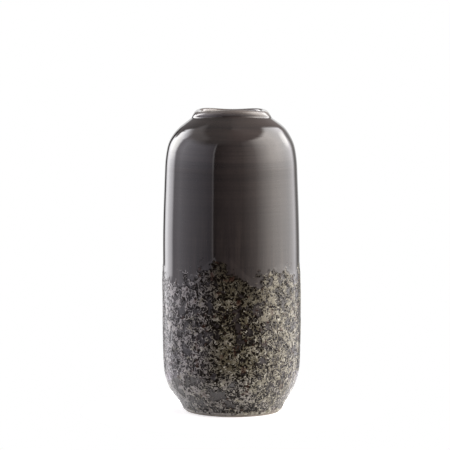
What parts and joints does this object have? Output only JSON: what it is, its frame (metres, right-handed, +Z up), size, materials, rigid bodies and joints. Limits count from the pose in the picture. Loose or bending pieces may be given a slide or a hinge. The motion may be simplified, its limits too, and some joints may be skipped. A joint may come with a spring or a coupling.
{
  "type": "bottle vase",
  "caption": "Tall stoneware bottle vase with a short collared neck: glossy dark glaze above, a raised speckled reactive glaze with a wavy edge below, on a turned foot ring.",
  "frame": {"origin": "centre of the foot ring, on the surface that the vase stands on", "axes": "+Z up along the vase's axis, -Y towards the viewer in the picture, +X to the right"},
  "size_m": [0.1186, 0.1186, 0.26],
  "materials": {
    "stoneware": "bare fired clay, fine sandy grain",
    "dark_glaze": "glossy dark brown-grey glaze with faint throwing rings",
    "liner_glaze": "glossy reddish-brown glaze",
    "speckled_glaze": "raised reactive glaze, olive-beige flecks on dark brown"
  },
  "bodies": {
    "root": {"stoneware_body": "stoneware", "outer_glaze": "dark_glaze", "liner_glaze": "liner_glaze", "crust_glaze": "speckled_glaze"}
  },
  "joints": []
}
